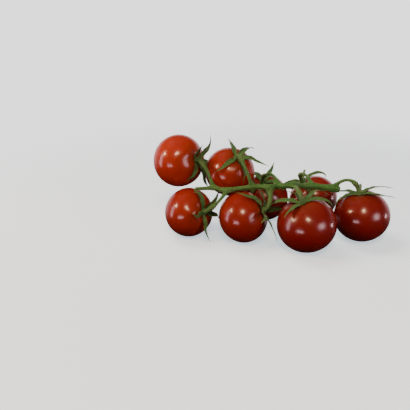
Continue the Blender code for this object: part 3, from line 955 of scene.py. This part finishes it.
def hair_material():
    """Pale green hairs."""
    material, tree, shader = new_material("fine hairs")
    colour = blend_colour(tree, mottle(tree, 300.0, 2.0), HAIR_DARK, HAIR_PALE)
    feed(tree, shader, {"Base Color": colour, "Roughness": 0.45})
    return material


def floor_material(settings):
    """Pale matte floor that glows evenly away from the middle."""
    material, tree, shader = new_material("plain floor")
    place = node(tree, "ShaderNodeTexCoord")
    away = node(tree, "ShaderNodeVectorMath", {0: place.outputs["Object"]},
                operation="LENGTH").outputs["Value"]
    far = ranged(tree, away, settings.lit_radius, FLOOR_FADE * settings.lit_radius, 0.0, 1.0)
    colour = blend_colour(tree, far, settings.floor_colour, BLACK)
    glow = blend_colour(tree, far, settings.floor_glow, (settings.sky_tone,) * 3)
    feed(tree, shader, {"Base Color": colour, "Emission Color": glow,
                        "Emission Strength": 1.0, "Roughness": 0.9,
                        "Specular IOR Level": 0.0})
    return material


# ---------------------------------------------------------------- operators

class TRUSS_OT_fruits(bpy.types.Operator):
    """Make the eight fruits"""

    bl_idname = "truss.fruits"
    bl_label = "Make Fruits"

    def execute(self, context):
        settings = context.scene.truss_fruit
        material = skin_material(settings)
        rng = np.random.default_rng(11)
        for k in FRUITS:
            add_piece(f"skin_{k}", fruit_surface(k, settings.lobe_height, rng), material,
                      [f"tomato_{k}"])
        return {"FINISHED"}


class TRUSS_OT_calyces(bpy.types.Operator):
    """Make the eight calyces: a neck and a star of sepals each, with fine hairs"""

    bl_idname = "truss.calyces"
    bl_label = "Make Calyces"

    def execute(self, context):
        settings = context.scene.truss_green
        material = calyx_material(settings)
        hairs = hair_material()
        rng = np.random.default_rng(23)
        for k in FRUITS:
            surfaces = [neck_surface(k)]
            for azimuth, length, lift in SEPALS[k]:
                surfaces.append(sepal_surface(
                    k, azimuth, length * settings.sepal_length, lift * settings.sepal_length,
                    settings.sepal_width, settings.sepal_thickness, rng))
            piece = add_piece(f"green_star_{k}", joined(surfaces), material, [f"calyx_{k}"])
            fuzz = hair_surface(piece, settings.calyx_hairs, settings.hair_length, rng)
            add_piece(f"star_hairs_{k}", fuzz, hairs, [])
        return {"FINISHED"}


class TRUSS_OT_stem(bpy.types.Operator):
    """Make the main stem with its eight side stalks, with fine hairs"""

    bl_idname = "truss.stem"
    bl_label = "Make Stem"

    def execute(self, context):
        settings = context.scene.truss_green
        rng = np.random.default_rng(37)
        surfaces = [main_stem_surface(rng)] + [stalk_surface(k) for k in FRUITS]
        piece = add_piece("stem_with_stalks", joined(surfaces), stem_material(settings),
                          ["main_stem"])
        fuzz = hair_surface(piece, settings.stem_hairs, settings.hair_length, rng)
        add_piece("stem_hairs", fuzz, hair_material(), [])
        return {"FINISHED"}


def add_light(name, lamp, target):
    """An area light as the table says, away from the truss's middle, facing a target."""
    data = bpy.data.lights.new(name, "AREA")
    data.shape = "DISK" if lamp.height is None else "RECTANGLE"
    data.size = lamp.width
    data.size_y = lamp.height or lamp.width
    data.energy = lamp.watts
    data.color = lamp.colour
    light = add_object(name, data)
    light.visible_camera = False
    place = TRUSS_MIDDLE + unit(camera_direction(*lamp.way)) * lamp.distance
    light.location = place
    light.rotation_euler = (Vector(target) - Vector(place)).to_track_quat("-Z", "Y").to_euler()
    return light


def camera_direction(right, up, back):
    """World direction of a vector given as right, up and towards the camera."""
    turn, tilt = math.radians(CAMERA_AZIMUTH), math.radians(CAMERA_ELEVATION)
    rightward = np.array([math.cos(turn), math.sin(turn), 0.0])
    backward = np.array([math.sin(turn) * math.cos(tilt), -math.cos(turn) * math.cos(tilt),
                         math.sin(tilt)])
    upward = np.cross(backward, rightward)
    return right * rightward + up * upward + back * backward


class TRUSS_OT_stage(bpy.types.Operator):
    """Make the pale floor, the soft studio lights, the sky and the camera"""

    bl_idname = "truss.stage"
    bl_label = "Make Stage"

    def execute(self, context):
        settings = context.scene.truss_stage
        self.floor(settings)
        self.lights()
        self.sky(settings)
        self.camera(settings)
        return {"FINISHED"}

    def floor(self, settings):
        """A flat disc: rings of points by radius and angle.

        Near the truss it takes light and shadow. Further out it fades into the even tone
        that the camera sees beyond it.
        """
        around = angles_round(FLOOR_COLUMNS)
        radius = np.geomspace(FLOOR_FIRST_RING, settings.floor_radius, FLOOR_ROWS)[:, None]
        flat = np.stack([radius * np.cos(around), radius * np.sin(around)], axis=-1)
        points = np.vstack([np.pad(flat.reshape(-1, 2), ((0, 0), (0, 1))), np.zeros(3)])
        here = np.arange(len(points) - 1).reshape(FLOOR_ROWS, FLOOR_COLUMNS)
        beside = np.roll(here, -1, axis=1)
        quads = np.stack([here[:-1], here[1:], beside[1:], beside[:-1]], -1).reshape(-1, 4)
        centre = np.full(FLOOR_COLUMNS, len(points) - 1)
        fan = np.stack([centre, here[0], beside[0]], axis=-1)
        mesh = bpy.data.meshes.new("floor")
        mesh.from_pydata(points.tolist(), [], quads.tolist() + fan.tolist())
        mesh.materials.append(floor_material(settings))
        floor = add_object("floor", mesh)
        floor.visible_glossy = False
        floor.visible_diffuse = False

    def lights(self):
        """A soft key that the fruits don't mirror, three small lamps and three windows."""
        made = {name: add_light(name, lamp, CENTRES[1] if name == "window_right"
                                else TRUSS_MIDDLE) for name, lamp in LAMPS.items()}
        made["soft_key"].visible_glossy = False
        made["window_right"].data.spread = math.radians(WINDOW_RIGHT_SPREAD)

    def sky(self, settings):
        """Dim rosy light from all round, brighter overhead and from a backdrop behind.

        The camera itself sees an even pale tone beyond the floor.
        """
        world = bpy.data.worlds.new("studio")
        world.use_nodes = True
        tree = world.node_tree
        way = node(tree, "ShaderNodeTexCoord").outputs["Generated"]
        height = node(tree, "ShaderNodeSeparateXYZ", {0: way}).outputs["Z"]
        turn = math.radians(CAMERA_AZIMUTH)
        behind = node(tree, "ShaderNodeVectorMath",
                      {0: way, 1: (-math.sin(turn), math.cos(turn), 0.0)},
                      operation="DOT_PRODUCT").outputs["Value"]
        level = arithmetic(tree, "ABSOLUTE", height, 0.0)
        paper = arithmetic(tree, "MULTIPLY",
                           ranged(tree, behind, 0.0, 0.8, 0.0, BACKDROP_LIGHT),
                           ranged(tree, level, *BACKDROP_FADE, 1.0, 0.0))
        overhead = ranged(tree, height, 0.55, 1.0, SKY_DIM, SKY_OVERHEAD)
        light = arithmetic(tree, "MULTIPLY", arithmetic(tree, "ADD", paper, overhead),
                           ranged(tree, height, -0.9, -0.1, UNDER_LIGHT, 1.0))
        seen = node(tree, "ShaderNodeLightPath").outputs["Is Camera Ray"]
        strength = node(tree, "ShaderNodeMix", {0: seen, 2: light, 3: settings.sky_tone},
                        data_type="FLOAT").outputs[0]
        colour = blend_colour(tree, seen, SKY_ROSE, PURE_WHITE)
        feed(tree, tree.nodes["Background"], {"Color": colour, "Strength": strength})
        bpy.context.scene.world = world

    def camera(self, settings):
        """Camera above the near side, looking along the azimuth and down."""
        data = bpy.data.cameras.new("camera")
        data.lens = settings.lens
        data.sensor_width = SENSOR_WIDTH
        camera = add_object("camera", data)
        camera.location = CAMERA_PLACE
        camera.rotation_euler = (math.radians(90 - CAMERA_ELEVATION), 0.0,
                                 math.radians(CAMERA_AZIMUTH))
        bpy.context.scene.camera = camera


class TRUSS_PT_panel(bpy.types.Panel):
    """Lists the operators and their settings"""

    bl_idname = "TRUSS_PT_panel"
    bl_label = "Tomato Truss"
    bl_space_type = "VIEW_3D"
    bl_region_type = "UI"
    bl_category = "Tomato Truss"

    def draw(self, context):
        layout = self.layout
        for group in (context.scene.truss_fruit, context.scene.truss_green,
                      context.scene.truss_stage):
            box = layout.box()
            for name in group.bl_rna.properties.keys():
                if name not in ("rna_type", "name"):
                    box.prop(group, name)
        for operator in OPERATORS:
            layout.operator(operator.bl_idname)


OPERATORS = (TRUSS_OT_fruits, TRUSS_OT_calyces, TRUSS_OT_stem, TRUSS_OT_stage)
CLASSES = (FruitSettings, GreenSettings, StageSettings, *OPERATORS, TRUSS_PT_panel)


def register():
    for each in CLASSES:
        bpy.utils.register_class(each)
    bpy.types.Scene.truss_fruit = PointerProperty(type=FruitSettings)
    bpy.types.Scene.truss_green = PointerProperty(type=GreenSettings)
    bpy.types.Scene.truss_stage = PointerProperty(type=StageSettings)


def unregister():
    del bpy.types.Scene.truss_stage
    del bpy.types.Scene.truss_green
    del bpy.types.Scene.truss_fruit
    for each in reversed(CLASSES):
        bpy.utils.unregister_class(each)


def main():
    register()
    bpy.ops.truss.fruits()
    bpy.ops.truss.calyces()
    bpy.ops.truss.stem()
    bpy.ops.truss.stage()


if __name__ == "__main__":
    main()
